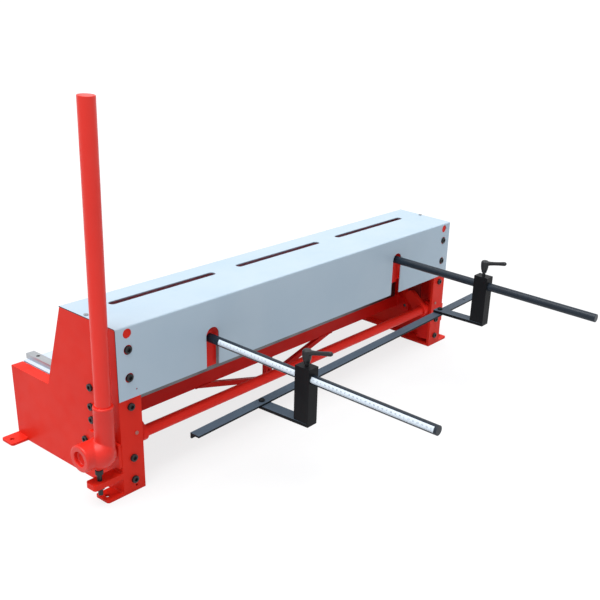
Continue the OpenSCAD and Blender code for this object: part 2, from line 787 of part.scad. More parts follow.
// Cover: one folded sheet with slots for sight and for the gauge rods
module top_slot(x) {
    r = top_slot_w / 2;
    translate([x - top_slot_len / 2 + r, -top_slot_in - r])
        square([top_slot_len - top_slot_w, top_slot_w]);
    translate([x - top_slot_len / 2 + r, -top_slot_in]) circle(r);
    translate([x + top_slot_len / 2 - r, -top_slot_in]) circle(r);
}
module rear_slot(x, top) {
    r = rear_slot_w / 2;
    translate([x, top - r]) circle(r);
    translate([x - r, cover_low - sheet_t]) square([rear_slot_w, top - r - cover_low + sheet_t]);
}
module cover() {
    step = top_slot_len + top_slot_gap;
    color([0.66, 0.75, 0.82]) placed() {
        translate([0, 0, tower_h]) linear_extrude(sheet_t) difference() {
            translate([-half_w, -cover_d]) square([width, cover_d + sheet_t]);
            for (i = [-1, 0, 1]) top_slot(i * step);
            for (s = [-1, 1]) translate([s * (half_w - cover_screw_in), -cover_screw_y])
                circle(small_r + bolt_clear);
        }
        along_y(sheet_t, sheet_t) difference() {
            translate([-half_w, cover_low]) square([width, tower_h + sheet_t - cover_low]);
            rear_slot(rod_half, rear_slot_top_near);
            rear_slot(-rod_half, rear_slot_top_far);
            for (s = [-1, 1]) {
                translate([s * flange_bolt_x, tower_h - cover_hole_down])
                    circle(cover_hole_d / 2);
                for (i = [0, 1]) translate([s * flange_bolt_x, guide_bolt_z(guide_bolt_shares[i])])
                    circle(cover_hole_d / 2);
            }
            translate([half_w - flange_bolt_in - bolt_head_d, cover_low + bolt_head_d])
                circle(cover_pin_d / 2);
        }
        box(-in_face + tap_fit, in_face - tap_fit, -cover_d, -cover_d + sheet_t,
            tower_h - cover_fold, tower_h + sheet_t);
    }
}
module cover_screws() {
    color([0.3, 0.32, 0.34]) placed() for (s = [-1, 1])
        translate([s * (half_w - cover_screw_in), -cover_screw_y, tower_h + sheet_t])
            cap_screw(small_d, small_len, small_head_d, small_head_h, small_d * 0.6,
                small_head_h * 0.6);
}

// Guide block: a U casting bolted into the corner of the side frame
module guide_block() {
    h = guide_top - guide_low;
    difference() {
        translate([0, 0, guide_low]) linear_extrude(h) polygon([
            [in_face, guide_front], [guide_in, guide_front], [guide_in, guide_leg_back],
            [in_face - guide_web_t, guide_leg_back],
            [in_face - guide_web_t, -plate_t - guide_rear_t],
            [guide_in, -plate_t - guide_rear_t], [guide_in, -plate_t], [in_face, -plate_t]]);
        at_side_bolts(in_face - side_bolt_len) cylinder(h = 2 * side_bolt_len, r = tap_r);
        at_flange_bolts(-flange_bolt_len) cylinder(h = 2 * flange_bolt_len, r = tap_r);
    }
}
module guide_block_near() {
    color([0.6, 0.1, 0.08]) placed() guide_block();
}
module guide_block_far() {
    color([0.6, 0.1, 0.08]) placed() far_side() guide_block();
}
// Bearing block: bolted behind the rear flange, round about the shaft
module bearing_block() {
    difference() {
        along_x(bearing_x, in_face - bearing_x) intersection() {
            union() {
                translate([-shaft_in, shaft_h]) circle(bearing_r);
                translate([-shaft_in - bearing_r, bearing_low])
                    square([2 * bearing_r, shaft_h - bearing_low]);
            }
            translate([-plate_t - 3 * bearing_r, 0]) square([3 * bearing_r, tower_h]);
        }
        pin_x(bearing_x - plate_t, half_w, -shaft_in, shaft_h, bush_r + tap_fit);
        at_flange_bolts(-flange_bolt_len) cylinder(h = 2 * flange_bolt_len, r = tap_r);
    }
}
module bearing_block_near() {
    color([0.6, 0.1, 0.08]) placed() bearing_block();
}
module bearing_block_far() {
    color([0.6, 0.1, 0.08]) placed() far_side() bearing_block();
}
module bush() {
    difference() {
        union() {
            pin_x(bearing_x, half_w, -shaft_in, shaft_h, bush_r);
            pin_x(half_w, half_w + bush_flange_t, -shaft_in, shaft_h, bush_flange_d / 2);
        }
        pin_x(bearing_x - plate_t, half_w + 2 * bush_flange_t, -shaft_in, shaft_h,
            shaft_d / 2 + bush_fit);
    }
}
module bush_near() {
    color([0.82, 0.16, 0.12]) placed() bush();
}
module bush_far() {
    color([0.82, 0.16, 0.12]) placed() far_side() bush();
}
module flange_bolts() {
    color([0.08, 0.08, 0.09]) placed() for (m = [0, 1]) mirror([m, 0, 0])
        at_flange_bolts(0)
            cap_screw(bolt_d, flange_bolt_len, bolt_head_d, bolt_head_h, hex_af, hex_deep);
}
module side_bolts() {
    color([0.08, 0.08, 0.09]) placed() for (m = [0, 1]) mirror([m, 0, 0])
        at_side_bolts(half_w)
            cap_screw(bolt_d, side_bolt_len, bolt_head_d, side_head_h, hex_af, hex_deep);
}
module oil_plugs() {
    color([0.8, 0.5, 0.45]) placed() for (m = [0, 1]) mirror([m, 0, 0])
        translate([half_w - oil_in, 0, oil_z]) rotate([-90, 0, 0]) union() {
            cylinder(h = small_head_h, r = plug_head_d / 2);
            translate([0, 0, -plate_t]) cylinder(h = plate_t, r = plug_d / 2);
        }
}
module stop_screw() {
    len = stop_top - stop_head_h - stop_low;
    color([0.08, 0.08, 0.09]) placed() translate([stop_x, -stop_in, stop_top - stop_head_h])
        cap_screw(bolt_d, len, bolt_head_d, stop_head_h, hex_af, hex_deep);
}
module stop_nut() {
    low = stop_lug_top - stop_lug_t - stop_nut_h;
    color([0.08, 0.08, 0.09]) placed() translate([stop_x, -stop_in, low]) difference() {
        cylinder(h = stop_nut_h, r = bolt_head_d / sqrt(3), $fn = 6);
        translate([0, 0, -stop_nut_h]) cylinder(h = 3 * stop_nut_h, r = tap_r);
    }
}

// Blade beam: raked plate with stiffener, link lugs, keepers and rod brackets
module beam_plate_shape() {
    drop = rake * (beam_half - blade_half);
    polygon([[-beam_half, beam_top], [beam_half, beam_top],
        [beam_half, beam_low_near - drop],
        [-beam_half, beam_low_near + rake * (blade_half + beam_half)]]);
}
module beam_lug_shape() {
    foot = eye_z - lug_r;
    plate_low = beam_low_near + rake * (blade_half + link_x);
    translate([eye_y, eye_z]) circle(lug_r);
    translate([beam_rear, foot])
        square([eye_y - beam_rear, max(2 * lug_r, plate_low + lug_t - foot)]);
}
module rod_bracket(x, z) {
    foot = z - bracket_drop;
    face = -bracket_in;
    back = face - bracket_t;
    translate([x, 0, 0]) {
        along_y(face, bracket_t) union() {
            translate([0, z]) circle(bracket_w / 2);
            translate([-bracket_w / 2, foot]) square([bracket_w, bracket_drop]);
        }
        box(-bracket_w / 2, bracket_w / 2, beam_rear, back, foot, foot + bracket_arm_t);
        along_x(-bracket_rib_t / 2, bracket_rib_t) polygon([
            [beam_rear, foot], [back, foot], [back, z - bracket_w],
            [beam_rear, z]]);
    }
}
module blade_beam() {
    keeper_in = lug_out_in + lug_t;
    keeper_y = guide_leg_back + slide_gap;
    color([0.78, 0.13, 0.1]) placed() difference() {
        union() {
            along_y(beam_rear, beam_t) beam_plate_shape();
            box(-link_x + 2 * lug_r, link_x - 2 * lug_r, beam_rear, beam_rear + stiff_w,
                beam_top - stiff_t, beam_top);
            for (m = [0, 1]) mirror([m, 0, 0]) {
                along_x(lug_in_out - lug_t, lug_t) beam_lug_shape();
                along_x(lug_out_in, lug_t - side_gap) beam_lug_shape();
                box(lug_out_in, lug_out_in + lug_t - side_gap, beam_rear,
                    keeper_y + keeper_t, eye_z - lug_r, eye_z - lug_r + keeper_h);
                box(lug_out_in, lug_out_in + keeper_reach, keeper_y, keeper_y + keeper_t,
                    eye_z - lug_r, eye_z - lug_r + keeper_h);
            }
            rod_bracket(rod_half, rod_z_near);
            rod_bracket(-rod_half, rod_z_far);
        }
        at_upper_screws() translate([0, 0, -screw_len])
            cylinder(h = screw_len, r = screw_tap_r);
        for (m = [0, 1]) mirror([m, 0, 0])
            pin_x(lug_in_out - 2 * lug_t, keeper_in + plate_t, eye_y, eye_z,
                pin_d / 2 + tap_fit);
        pin_y_axis(rod_half, -bracket_in - 2 * bracket_t, 0, rod_z_near,
            spigot_d / 2 + tap_fit);
        pin_y_axis(-rod_half, -bracket_in - 2 * bracket_t, 0, rod_z_far,
            spigot_d / 2 + tap_fit);
    }
}
module at_upper_screws() {
    for (s = screw_shares)
        translate([s * blade_half, -cut_in + blade_gap,
            blade_low(s * blade_half) + upper_blade_h / 2])
            rotate([90, 0, 0]) children();
}
module upper_blade() {
    low_far = blade_low(-blade_half);
    color([0.25, 0.26, 0.28]) placed() difference() {
        along_y(-cut_in + blade_gap + blade_t, blade_t) polygon([
            [blade_half, blade_low_near], [blade_half, blade_low_near + upper_blade_h],
            [-blade_half, low_far + upper_blade_h], [-blade_half, low_far]]);
        at_upper_screws() sunk_hole(screw_d, 2 * blade_t, screw_head_d);
    }
}
module upper_blade_screws() {
    color([0.1, 0.1, 0.11]) placed() at_upper_screws()
        sunk_screw(screw_d, screw_len, screw_head_d);
}
module gauge_rod(x, z, end) {
    pin_y_axis(x, -bracket_in, end, z, rod_d / 2);
    pin_y_axis(x, -bracket_in - spigot_len, -bracket_in, z, spigot_d / 2);
}
module strip_cut(grow) {
    y0 = strip_start - grow;
    y1 = rod_end_near - strip_end_gap + grow;
    translate([rod_half, 0, rod_z_near]) rotate([0, -strip_turn, 0])
        box(strip_seat, rod_d, y0, y1, -rod_d, rod_d);
}
module rod_near() {
    color([0.2, 0.22, 0.24]) placed() difference() {
        gauge_rod(rod_half, rod_z_near, rod_end_near);
        strip_cut(0);
    }
}
module rod_far() {
    color([0.2, 0.22, 0.24]) placed() gauge_rod(-rod_half, rod_z_far, rod_end_far);
}
module scale_strip() {
    color([0.92, 0.93, 0.94]) placed() intersection() {
        pin_y_axis(rod_half, 0, rod_end_near, rod_z_near, rod_d / 2 - strip_set);
        strip_cut(0);
    }
}
module rod_nut(x, z) {
    translate([x, -bracket_in - bracket_t, z]) rotate([90, 0, 0]) difference() {
        cylinder(h = rod_nut_h, r = rod_nut_af / sqrt(3), $fn = 6);
        translate([0, 0, -rod_nut_h]) cylinder(h = 3 * rod_nut_h, r = spigot_d / 2 + tap_fit);
    }
}
module rod_nuts() {
    color([0.3, 0.31, 0.33]) placed() {
        rod_nut(rod_half, rod_z_near);
        rod_nut(-rod_half, rod_z_far);
    }
}
module link_top_pins() {
    x0 = lug_in_out - lug_t;
    color([0.4, 0.41, 0.43]) placed() for (m = [0, 1]) mirror([m, 0, 0]) {
        pin_x(x0, lug_out_in + lug_t - side_gap, eye_y, eye_z, pin_d / 2);
        pin_x(x0 - pin_head_t, x0, eye_y, eye_z, pin_head_d / 2);
    }
}

// Torsion shaft with its two cranks
module torsion_shaft() {
    color([0.7, 0.11, 0.09]) placed()
        pin_x(-shaft_far, shaft_near, -shaft_in, shaft_h, shaft_d / 2);
}
module crank() {
    difference() {
        union() {
            pin_x(crank_in - side_gap, bearing_x - side_gap, -shaft_in, shaft_h, crank_hub_r);
            translate([0, -shaft_in, shaft_h]) rotate([-crank_rest, 0, 0])
                along_x(crank_in, crank_t) union() {
                    circle(crank_web_r);
                    translate([-crank_r, -crank_web_r]) square([crank_r, 2 * crank_web_r]);
                    translate([-crank_r, 0]) circle(crank_web_r);
                }
            pin_x(crank_in + crank_t / 2, link_out + side_gap, pin_y, pin_z, pin_d / 2);
            pin_x(link_out + side_gap, link_out + side_gap + pin_head_t, pin_y, pin_z,
                pin_head_d / 2);
        }
        pin_x(crank_in - plate_t, bearing_x + plate_t, -shaft_in, shaft_h,
            shaft_d / 2 + tap_fit);
    }
}
module crank_near() {
    color([0.7, 0.11, 0.09]) placed() crank();
}
module crank_far() {
    color([0.7, 0.11, 0.09]) placed() far_side() crank();
}
module shaft_collar() {
    x0 = half_w + bush_flange_t + hub_gap;
    color([0.7, 0.11, 0.09]) placed() far_side() difference() {
        pin_x(x0, x0 + collar_len, -shaft_in, shaft_h, collar_d / 2);
        pin_x(x0 - plate_t, x0 + 2 * collar_len, -shaft_in, shaft_h, shaft_d / 2 + tap_fit);
    }
}

// Lever hub: horizontal hub, rounded elbow, upright socket with ring and a heel pad
module at_lever() {
    translate([lever_x, -shaft_in + lever_off, shaft_h]) rotate([-lever_lean, 0, 0]) children();
}
module elbow() {
    r = elbow_d / 2;
    translate([elbow_x, -shaft_in, shaft_h - elbow_drop]) {
        sphere(r);
        cylinder(h = elbow_drop, r = r);
    }
    translate([elbow_x, -shaft_in, shaft_h]) sphere(r);
}
module lever_hub() {
    x0 = half_w + bush_flange_t + hub_gap;
    len = hub_end - hub_start;
    r = hub_d / 2;
    up = (socket_top - shaft_h) / cos(lever_lean);
    color([0.84, 0.18, 0.13]) placed() difference() {
        union() {
            translate([hub_start, -shaft_in, shaft_h]) rotate([0, 90, 0]) rotate_extrude() union() {
                square([r - hub_round, len]);
                translate([0, hub_round]) square([r, len - hub_round - hub_edge]);
                translate([0, hub_round]) square([r - hub_edge, len - hub_round]);
                translate([r - hub_round, hub_round]) intersection() {
                    circle(hub_round);
                    translate([0, -hub_round]) square([hub_round, hub_round]);
                }
                translate([r - hub_edge, len - hub_edge]) circle(hub_edge);
            }
            pin_x(x0, elbow_x, -shaft_in, shaft_h, neck_d / 2);
            elbow();
            at_lever() sphere(socket_d / 2);
            at_lever() cylinder(h = up - ring_h, r = socket_d / 2);
            at_lever() translate([0, 0, up - ring_h]) cylinder(h = ring_h, r = ring_d / 2);
            translate([stop_x, -stop_in, stop_top]) cylinder(h = heel_d * 1.3, r = heel_d / 2);
        }
        pin_x(half_w, hub_end + plate_t, -shaft_in, shaft_h, shaft_d / 2 + tap_fit);
        pin_x(shaft_near, hub_end + plate_t, -shaft_in, shaft_h, recess_d / 2);
        pin_x(in_face, x0, -shaft_in, shaft_h, elbow_d);
        at_lever() translate([0, 0, hub_d * 0.7]) cylinder(h = up, r = tube_d / 2 + tap_fit);
    }
}
module lever_tube() {
    foot = hub_d * 0.7;
    top = (lever_top - shaft_h) / cos(lever_lean);
    color([0.84, 0.18, 0.13]) placed() at_lever() difference() {
        translate([0, 0, foot]) cylinder(h = top - foot, r = tube_d / 2);
        translate([0, 0, foot - plug_h]) cylinder(h = top, r = tube_d / 2 - tube_wall);
        translate([0, 0, top - plug_h]) cylinder(h = 2 * plug_h, r = tube_d / 2 - tube_wall);
    }
}
module lever_plug() {
    top = (lever_top - shaft_h) / cos(lever_lean);
    color([0.6, 0.1, 0.08]) placed() at_lever() translate([0, 0, top - plug_h])
        cylinder(h = plug_h, r = tube_d / 2 - tube_wall);
}

// Link bar: close round eye on the crank pin, longer free eye on the beam pin
module link_bar() {
    along_x(link_in, link_t) difference() {
        union() {
            translate([pin_y, pin_z]) circle(link_w / 2);
            translate([pin_y - link_w / 2, pin_z]) square([link_w, link_len]);
            translate([pin_y, eye_z]) circle(link_w / 2);
        }
        translate([pin_y, pin_z]) circle(pin_d / 2 + pin_fit);
        free_eye();
    }
}
module free_eye() {
    r = pin_d / 2 + eye_free_z;
    translate([pin_y - eye_free_y, eye_z]) circle(r);
    translate([pin_y + eye_free_y, eye_z]) circle(r);
    translate([pin_y - eye_free_y, eye_z - r]) square([2 * eye_free_y, 2 * r]);
}
module link_near() {
    color([0.35, 0.36, 0.38]) placed() link_bar();
}
module link_far() {
    color([0.35, 0.36, 0.38]) placed() far_side() link_bar();
}

// Back gauge: two clamp blocks on the rods, flat arms and an angle stop bar
module gauge_block(x, z, low) {
    edge = block_w / 2 * bar_rise;
    difference() {
        translate([x, 0, 0]) along_y(block_back, block_d) polygon([
            [-block_w / 2, low + edge], [block_w / 2, low - edge],
            [block_w / 2, z + block_up], [-block_w / 2, z + block_up]]);
        pin_y_axis(x, block_back - 2 * block_d, block_back + block_d, z,
            rod_d / 2 + block_fit);
        translate([x, block_y, z]) cylinder(h = 2 * block_up, r = clamp_bore_r);
    }
}
module gauge_block_near() {
    color([0.11, 0.12, 0.13]) placed() gauge_block(rod_half, rod_z_near, arm_top_near);
}
module gauge_block_far() {
    color([0.11, 0.12, 0.13]) placed()
        gauge_block(-rod_half, rod_z_far, arm_low_far + arm_t);
}
// A flat arm in the plane of the stop bar, its front end nearer to the lever
module gauge_arm(x, low, front) {
    run = arm_skew * (block_back - front) / (block_back - bar_front);
    difference() {
        translate([x, 0, low]) rotate([0, bar_tilt, 0]) linear_extrude(arm_t * cos(bar_tilt))
            polygon([[-block_w / 2, block_back], [block_w / 2, block_back],
                [block_w / 2 + run, front], [-block_w / 2 + run, front]]);
        translate([bar_screw_x(x), bar_screw_y, low - arm_t])
            cylinder(h = 3 * arm_t, r = small_tap_r);
    }
}
module gauge_arm_near() {
    color([0.3, 0.35, 0.4]) placed() gauge_arm(rod_half, arm_top_near - arm_t, bar_front + bar_t);
}
module gauge_arm_far() {
    color([0.3, 0.35, 0.4]) placed() gauge_arm(-rod_half, arm_low_far, bar_front);
}
module stop_bar() {
    front = bar_front;
    z0 = bar_low(bar_near);
    z1 = bar_low(-bar_far);
    color([0.3, 0.35, 0.4]) placed() difference() {
        union() {
            along_y(front + bar_w, bar_w) polygon([[bar_near, z0], [bar_near, z0 + bar_t],
                [-bar_far, z1 + bar_t], [-bar_far, z1]]);
            along_y(front + bar_t, bar_t) polygon([[bar_near, z0 + bar_t - bar_leg],
                [bar_near, z0 + bar_t], [-bar_far, z1 + bar_t],
                [-bar_far, z1 + bar_t - bar_leg]]);
        }
        for (x = [bar_screw_x(rod_half), bar_screw_x(-rod_half), -bar_hole_x])
            translate([x, bar_screw_y, bar_low(x) - bar_t])
                cylinder(h = 3 * bar_t, r = small_tap_r);
    }
}
// A button head screw, its shank below the origin
module button_screw(len) {
    r = bar_head_d / 2;
    edge = bar_head_h * 0.4;
    difference() {
        union() {
            cylinder(h = edge, r = r);
            translate([0, 0, edge]) cylinder(h = bar_head_h - edge, r1 = r, r2 = r * 0.62);
            translate([0, 0, -len]) cylinder(h = len, r = small_r);
        }
        translate([0, 0, edge]) cylinder(h = bar_head_h, r = small_r * 0.8, $fn = 6);
    }
}
module stop_bar_screws() {
    lift = bar_t + bar_head_d / 2 * bar_rise;
    near = bar_screw_x(rod_half);
    far = bar_screw_x(-rod_half);
    color([0.1, 0.1, 0.11]) placed() {
        translate([near, bar_screw_y, bar_low(near) + lift]) button_screw(bar_t + arm_t);
        translate([far, bar_screw_y, bar_low(far) + lift + arm_t])
            button_screw(bar_t + arm_t);
    }
}

// Clamping lever: tapered hub with a domed cap and a tapered handle
module clamp_lever(x, z, free, turn) {
    seat = z + block_up + free;
    cap_z = clamp_hub_h - clamp_cap_r;
    color([0.07, 0.07, 0.08]) placed() translate([x, block_y, seat]) rotate([0, 0, turn])
        difference() {
            union() {
                cylinder(h = cap_z, r1 = clamp_foot_d / 2, r2 = clamp_hub_d / 2);
                translate([0, 0, cap_z]) rotate_extrude() union() {
                    square([clamp_hub_d / 2 - clamp_cap_r, clamp_cap_r]);
                    translate([clamp_hub_d / 2 - clamp_cap_r, 0]) intersection() {
                        circle(clamp_cap_r);
                        square([clamp_cap_r, clamp_cap_r]);
                    }
                }
                translate([0, 0, cap_z - clamp_cap_r]) rotate([clamp_rise - 90, 0, 0]) {
                    cylinder(h = clamp_len - clamp_tip_d / 2, r1 = clamp_root_d / 2,
                        r2 = clamp_tip_d / 2);
                    translate([0, 0, clamp_len - clamp_tip_d / 2]) sphere(clamp_tip_d / 2);
                }
            }
            cylinder(h = cap_z - clamp_root_d, r = clamp_bore_r);
        }
}
module clamp_lever_near() {
    clamp_lever(rod_half, rod_z_near, clamp_free_near, clamp_turn_near);
}
module clamp_lever_far() {
    clamp_lever(-rod_half, rod_z_far, clamp_free_far, clamp_turn_far);
}
module clamp_stud(x, z, free) {
    foot = z + rod_d / 2 + side_gap;
    top = z + block_up + free + clamp_hub_h - clamp_cap_r - clamp_root_d;
    color([0.3, 0.31, 0.33]) placed() translate([x, block_y, foot])
        cylinder(h = top - foot, r = clamp_stud_d / 2);
}
module clamp_stud_near() {
    clamp_stud(rod_half, rod_z_near, clamp_free_near);
}
module clamp_stud_far() {
    clamp_stud(-rod_half, rod_z_far, clamp_free_far);
}

side_frame_near();
side_frame_far();
bed_beam();
bed_truss();
front_rail();
table_plate();
lower_blade();
lower_blade_screws();
squaring_bar();
squaring_bar_screws();
cover();
cover_screws();
guide_block_near();
guide_block_far();
bearing_block_near();
bearing_block_far();
bush_near();
bush_far();
flange_bolts();
side_bolts();
oil_plugs();
stop_screw();
stop_nut();
blade_beam();
upper_blade();
upper_blade_screws();
rod_near();
rod_far();
rod_nuts();
scale_strip();
link_top_pins();
torsion_shaft();
crank_near();
crank_far();
shaft_collar();
lever_hub();
lever_tube();
lever_plug();
link_near();
link_far();
gauge_block_near();
gauge_block_far();
gauge_arm_near();
gauge_arm_far();
stop_bar();
stop_bar_screws();
clamp_lever_near();
clamp_lever_far();
clamp_stud_near();
clamp_stud_far();
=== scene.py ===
import json
import math

import bpy
from mathutils import Matrix, Vector

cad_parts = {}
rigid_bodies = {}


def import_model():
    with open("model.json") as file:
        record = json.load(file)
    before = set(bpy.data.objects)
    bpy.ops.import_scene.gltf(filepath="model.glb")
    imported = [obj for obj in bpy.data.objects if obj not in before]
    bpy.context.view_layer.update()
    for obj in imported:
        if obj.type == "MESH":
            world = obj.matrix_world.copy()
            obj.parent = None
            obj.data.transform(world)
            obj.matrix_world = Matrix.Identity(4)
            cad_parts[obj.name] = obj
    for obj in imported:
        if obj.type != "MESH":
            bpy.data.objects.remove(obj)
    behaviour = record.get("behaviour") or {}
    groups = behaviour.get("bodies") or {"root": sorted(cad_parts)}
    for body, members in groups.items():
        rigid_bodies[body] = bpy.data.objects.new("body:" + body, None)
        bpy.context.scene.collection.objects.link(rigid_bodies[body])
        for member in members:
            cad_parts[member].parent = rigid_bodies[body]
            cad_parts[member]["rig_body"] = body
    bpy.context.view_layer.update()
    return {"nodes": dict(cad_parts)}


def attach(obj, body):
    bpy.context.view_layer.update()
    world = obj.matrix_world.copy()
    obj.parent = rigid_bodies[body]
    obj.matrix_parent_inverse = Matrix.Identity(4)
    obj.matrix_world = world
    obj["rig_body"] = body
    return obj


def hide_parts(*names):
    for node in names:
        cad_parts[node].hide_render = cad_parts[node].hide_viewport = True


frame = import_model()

nodes = frame["nodes"]

# Side frames. Two frames of 8 mm steel plate with folded rims, a welded rear flange and
# foot tabs, powder coated red. Their cut edges are ground round before the coat goes on.
MM = 0.001
REAR = 189 * MM


def alone(piece):
    if bpy.context.object and bpy.context.object.mode != "OBJECT":
        bpy.ops.object.mode_set(mode="OBJECT")
    bpy.ops.object.select_all(action="DESELECT")
    piece.select_set(True)
    bpy.context.view_layer.objects.active = piece


def finished(piece, kind, **settings):
    alone(piece)
    step = piece.modifiers.new("step", kind)
    for word, value in settings.items():
        setattr(step, word, value)
    bpy.ops.object.modifier_apply(modifier="step")


def welded_copy(node):
    piece = bpy.data.objects.new(node + "_made", nodes[node].data.copy())
    bpy.context.collection.objects.link(piece)
    alone(piece)
    bpy.ops.object.mode_set(mode="EDIT")
    bpy.ops.mesh.select_all(action="SELECT")
    bpy.ops.mesh.remove_doubles(threshold=0.005 * MM)
    bpy.ops.mesh.dissolve_limited(angle_limit=math.radians(0.3))
    bpy.ops.object.mode_set(mode="OBJECT")
    return piece


def coated(piece, material):
    piece.data.materials.clear()
    piece.data.materials.append(material)


def stands_for(piece, node, material):
    alone(piece)
    bpy.ops.object.shade_smooth_by_angle(angle=math.radians(38))
    finished(piece, "WEIGHTED_NORMAL", keep_sharp=True, weight=80)
    coated(piece, material)
    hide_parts(node)
    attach(piece, nodes[node]["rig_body"])


def rounded(piece, width, steps, angle=42):
    finished(piece, "BEVEL", width=width * MM, segments=steps, limit_method="ANGLE",
             angle_limit=math.radians(angle))


def eased(node, width, material, steps=2):
    piece = welded_copy(node)
    rounded(piece, width, steps)
    stands_for(piece, node, material)
    return piece


def noise(tree, scale, detail=2.0):
    made = tree.nodes.new("ShaderNodeTexNoise")
    made.inputs["Scale"].default_value = scale
    made.inputs["Detail"].default_value = detail
    return made


def stretched(tree, low, high, least=0.0, most=1.0):
    made = tree.nodes.new("ShaderNodeMapRange")
    made.inputs["From Min"].default_value = low
    made.inputs["From Max"].default_value = high
    made.inputs["To Min"].default_value = least
    made.inputs["To Max"].default_value = most
    return made


def worked_out(tree, operation):
    made = tree.nodes.new("ShaderNodeMath")
    made.operation = operation
    return made


def two_tone(tree, colour, other):
    made = tree.nodes.new("ShaderNodeMix")
    made.data_type = "RGBA"
    made.inputs[6].default_value = (*colour, 1.0)
    made.inputs[7].default_value = (*other, 1.0)
    return made


def relief(tree, strength, height):
    made = tree.nodes.new("ShaderNodeBump")
    made.inputs["Strength"].default_value = strength
    made.inputs["Distance"].default_value = height * MM
    return made


def new_finish(name):
    made = bpy.data.materials.new(name)
    made.use_nodes = True
    return made, made.node_tree, made.node_tree.nodes["Principled BSDF"]


def powder_coat(name, colour, shade, rough=0.4, peel=0.1, gloss=0.12):
    made, tree, skin = new_finish(name)
    link = tree.links.new
    place = tree.nodes.new("ShaderNodeTexCoord")
    cloud = noise(tree, 7.0, 5.0)
    spread = stretched(tree, 0.3, 0.72)
    tone = two_tone(tree, colour, shade)
    grain = noise(tree, 520.0, 3.0)
    waves = noise(tree, 60.0)
    both = worked_out(tree, "MULTIPLY_ADD")
    both.inputs[1].default_value = 0.6
    rise = relief(tree, peel, 0.5)
    rub = noise(tree, 26.0, 8.0)
    worn = stretched(tree, 0.4, 0.75, rough - 0.04, rough + 0.12)
    link(place.outputs["Object"], cloud.inputs["Vector"])
    link(place.outputs["Object"], grain.inputs["Vector"])
    link(place.outputs["Object"], waves.inputs["Vector"])
    link(place.outputs["Object"], rub.inputs["Vector"])
    link(cloud.outputs["Fac"], spread.inputs["Value"])
    link(spread.outputs["Result"], tone.inputs[0])
    link(tone.outputs[2], skin.inputs["Base Color"])
    link(rub.outputs["Fac"], worn.inputs["Value"])
    link(worn.outputs["Result"], skin.inputs["Roughness"])
    link(grain.outputs["Fac"], both.inputs[0])
    link(waves.outputs["Fac"], both.inputs[2])
    link(both.outputs["Value"], rise.inputs["Height"])
    link(rise.outputs["Normal"], skin.inputs["Normal"])
    skin.inputs["Specular IOR Level"].default_value = gloss
    return made


# A round bead with the ripples of its runs, laid along a seam.
def weld_bead(name, start, end, radius, material, body):
    a = Vector(start) * MM
    b = Vector(end) * MM
    along = b - a
    bpy.ops.object.select_all(action="DESELECT")
    bpy.ops.mesh.primitive_cylinder_add(vertices=10, radius=radius * MM, depth=along.length)
    bead = bpy.context.object
    bead.name = name
    bpy.ops.object.mode_set(mode="EDIT")
    bpy.ops.mesh.select_all(action="SELECT")
    bpy.ops.mesh.bevel(offset=radius * 0.3 * MM, segments=2)
    bpy.ops.object.mode_set(mode="OBJECT")
    finished(bead, "REMESH", mode="VOXEL", voxel_size=radius * 0.33 * MM)
    for point in bead.data.vertices:
        swell = 1.0 + 0.1 * math.sin(point.co.z / MM * 2.6)
        point.co.x *= swell
        point.co.y *= swell
    turn = along.to_track_quat("Z", "Y").to_matrix().to_4x4()
    bead.data.transform(Matrix.Translation((a + b) / 2) @ turn)
    alone(bead)
    bpy.ops.object.shade_smooth()
    coated(bead, material)
    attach(bead, body)


red_coat = powder_coat("red_powder_coat", (0.8, 0.026, 0.012), (0.73, 0.021, 0.01))
eased("side_frame_near", 0.9, red_coat)
eased("side_frame_far", 0.9, red_coat)
SEAM = 575.2
weld_bead("weld_lug_top", (SEAM, 162, 54), (SEAM, 188, 54), 2.2, red_coat, "frame")
weld_bead("weld_lug_low", (SEAM, 162, 41), (SEAM, 188, 41), 2.2, red_coat, "frame")
weld_bead("weld_lug_front", (SEAM, 159, 43), (SEAM, 159, 52), 2.2, red_coat, "frame")
for side, mark in ((1, "near"), (-1, "far")):
    for place, low, high in (("rear", 149, 187), ("front", -189, -151)):
        weld_bead("weld_foot_" + place + "_" + mark, (side * SEAM, low, 6),
                  (side * SEAM, high, 6), 1.8, red_coat, "frame")
    weld_bead("weld_shoulder_" + mark, (side * 567, -183, 169), (side * 567, -52, 169), 1.8,
              red_coat, "frame")

# Bed beam. A thick web with a flange under the table and two end plates, stiffened from
# below by a V shaped truss, and the front rail. Welded, bolted to the side frames, red.
bed_coat = powder_coat("red_bed_coat", (0.82, 0.016, 0.01), (0.7, 0.012, 0.008))
for node in ("bed_beam", "bed_truss", "front_rail"):
    eased(node, 0.8, bed_coat)
for side, mark in ((1, "near"), (-1, "far")):
    weld_bead("weld_truss_" + mark, (side * 202, 42.4, 81), (side * 250, 42.4, 81), 2.0,
              bed_coat, "frame")
    weld_bead("weld_bed_end_" + mark, (side * 555, 42.2, 84), (side * 555, 42.2, 116), 2.2,
              bed_coat, "frame")
weld_bead("weld_post", (-11, 42.4, 81), (11, 42.4, 81), 2.0, bed_coat, "frame")


